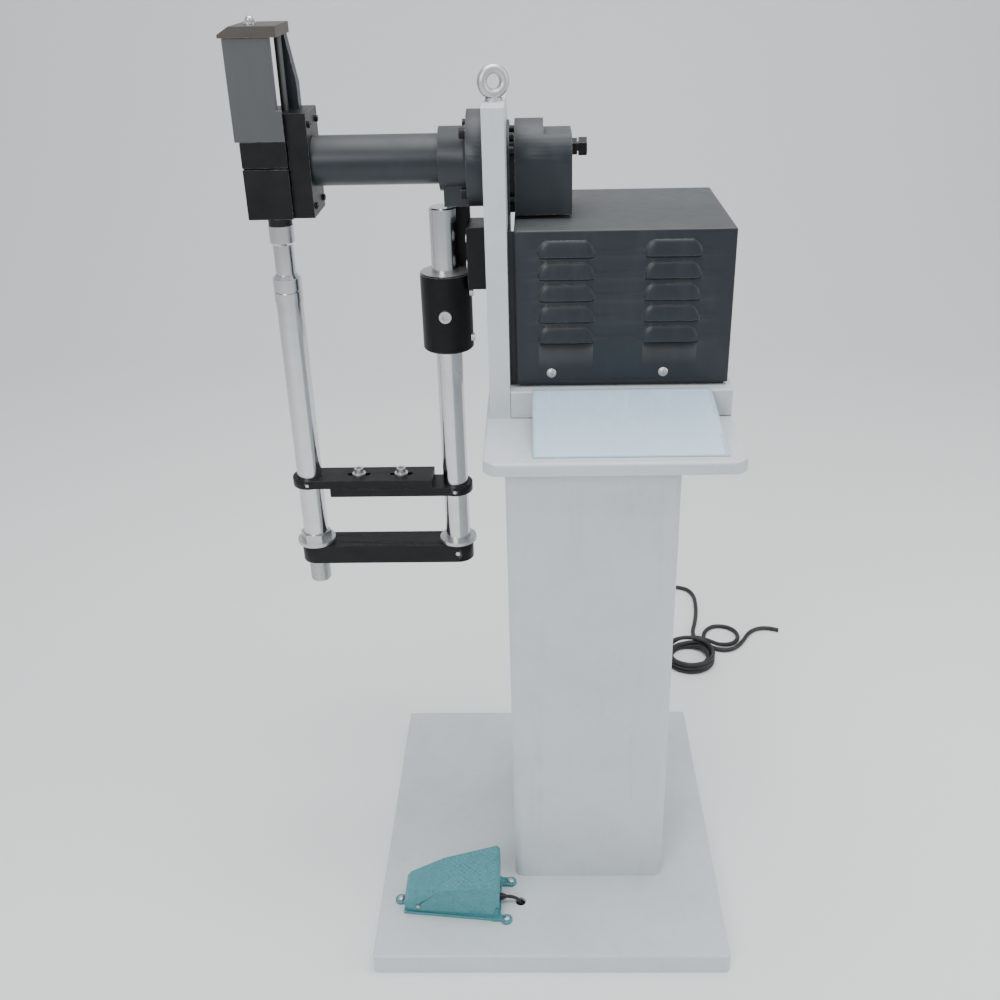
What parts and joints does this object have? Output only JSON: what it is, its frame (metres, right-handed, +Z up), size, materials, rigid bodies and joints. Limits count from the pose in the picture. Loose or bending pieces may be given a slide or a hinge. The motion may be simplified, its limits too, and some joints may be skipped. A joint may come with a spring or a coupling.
{
  "type": "post-anvil stapling press",
  "caption": "Floor-standing motor press: a crank head on a side arm above a height-adjustable post anvil, on a cabinet column with a wide base and a foot switch.",
  "frame": {"origin": "centre of the underside of the base", "axes": "+Z up, the front of the machine looks along -Y, the arm reaches out along -X"},
  "size_m": [1.0491, 1.1899, 1.4746],
  "materials": {
    "paint": "off-white enamel",
    "dark_paint": "dark blue-grey semi-gloss enamel",
    "grey_paint": "mid-grey enamel",
    "brown_paint": "dark worn enamel",
    "blue_sheet": "pale blue",
    "teal_paint": "hammered teal enamel",
    "zinc": "zinc plated",
    "chrome": "polished",
    "bright_steel": "machined",
    "black_oxide": "black oxide, oiled",
    "tool_steel": "hardened, dark",
    "spring_steel": "drawn wire",
    "cast_iron": "machined grey iron",
    "bronze": "bronze",
    "motor_grey": "grey-blue enamel",
    "coil_resin": "potted winding",
    "belt_rubber": "moulded rubber",
    "cord_rubber": "black sheath",
    "gland_plastic": "black",
    "switch_plastic": "black",
    "red_plastic": "red"
  },
  "bodies": {
    "stand": {"base_plate": "paint", "column": "paint", "table_top": "paint", "frame_base": "paint", "frame_post": "paint", "eye_bolt": "zinc", "motor_cover": "dark_paint", "cover_screws": "zinc", "table_sheet": "blue_sheet", "arm_flange": "dark_paint", "arm_tube": "dark_paint", "flange_bolts": "black_oxide", "gear_housing": "dark_paint", "stop_screw": "black_oxide", "crank_bearings": "bright_steel", "motor_frame": "motor_grey", "drive_belt": "belt_rubber", "clutch_coil": "coil_resin", "inner_leads": "cord_rubber", "head_block": "black_oxide", "front_plates": "black_oxide", "tower_cover": "grey_paint", "tower_cap": "brown_paint", "dome_nut": "chrome", "guide_rod": "bright_steel", "rear_guard": "dark_paint", "return_spring": "spring_steel", "head_screws": "black_oxide", "clamp_bracket": "black_oxide", "clamp_holder": "black_oxide", "clamp_screws": "zinc", "foot_base": "teal_paint", "treadle_pin": "zinc", "treadle_spring": "spring_steel", "micro_switch": "switch_plastic", "foot_gland": "gland_plastic", "foot_screws": "zinc", "cord_gland": "gland_plastic", "cord_run": "cord_rubber", "cord_coil": "cord_rubber"},
    "motor_drive": {"motor_rotor": "bright_steel", "motor_pulley": "cast_iron"},
    "wheel": {"drive_wheel": "cast_iron"},
    "crank": {"crankshaft": "bright_steel", "crank_roller": "bronze", "clutch_plate": "bright_steel"},
    "ram": {"ram": "bright_steel", "driver_tip": "tool_steel"},
    "post_anvil": {"support_rod": "chrome", "lower_bar": "black_oxide", "link_bar_left": "black_oxide", "link_bar_right": "black_oxide", "link_screws": "zinc", "anvil_rod": "chrome", "rod_nut": "zinc"},
    "fine_ring": {"adjusting_ring": "chrome"},
    "anvil_top": {"anvil_head": "chrome", "anvil_pad": "tool_steel"},
    "treadle": {"treadle": "teal_paint"},
    "plunger": {"switch_plunger": "red_plastic"}
  },
  "joints": [
    {"name": "motor_spin", "type": "hinge", "parent": "stand", "child": "motor_drive", "pos_m": [0.135, 0.14, 1.011], "axis": [1, 0, 0], "continuous": true},
    {"name": "wheel_spin", "type": "hinge", "parent": "stand", "child": "wheel", "pos_m": [0, 0.14, 1.262], "axis": [1, 0, 0], "continuous": true},
    {"name": "crank_turn", "type": "hinge", "parent": "stand", "child": "crank", "pos_m": [-0.4, 0.14, 1.262], "axis": [1, 0, 0], "range_deg": [0, 180]},
    {"name": "ram_slide", "type": "slide", "parent": "stand", "child": "ram", "axis": [0, 0, 1], "range_m": [-0.026, 0], "stiffness_N_per_m": 300, "springref_m": 0.03, "deforming": ["return_spring"]},
    {"name": "anvil_lift", "type": "slide", "parent": "stand", "child": "post_anvil", "axis": [0, 0, 1], "range_m": [-0.08, 0]},
    {"name": "ring_turn", "type": "hinge", "parent": "post_anvil", "child": "fine_ring", "pos_m": [-0.42, 0.14, 1.07], "axis": [0, 0, 1], "range_deg": [-720, 0]},
    {"name": "anvil_fine", "type": "slide", "parent": "post_anvil", "child": "anvil_top", "axis": [0, 0, 1], "range_m": [-0.004, 0]},
    {"name": "treadle_press", "type": "hinge", "parent": "stand", "child": "treadle", "pos_m": [-0.23, -0.197, 0.06], "axis": [0, 1, 0], "range_deg": [0, 3.5], "stiffness_Nm_per_rad": 8, "springref_deg": -8.59, "deforming": ["treadle_spring"]},
    {"name": "plunger_press", "type": "slide", "parent": "stand", "child": "plunger", "axis": [0, 0, 1], "range_m": [-0.0031, 0], "stiffness_N_per_m": 100, "springref_m": 0.004}
  ],
  "couplings": [
    {"joint": "wheel_spin", "follows": "motor_spin", "ratio": 0.6066},
    {"joint": "ram_slide", "follows": "crank_turn", "m_per_rad": -0.008276},
    {"joint": "ring_turn", "follows": "anvil_fine", "rad_per_m": 3141.5},
    {"joint": "plunger_press", "follows": "treadle_press", "m_per_rad": -0.05}
  ]
}
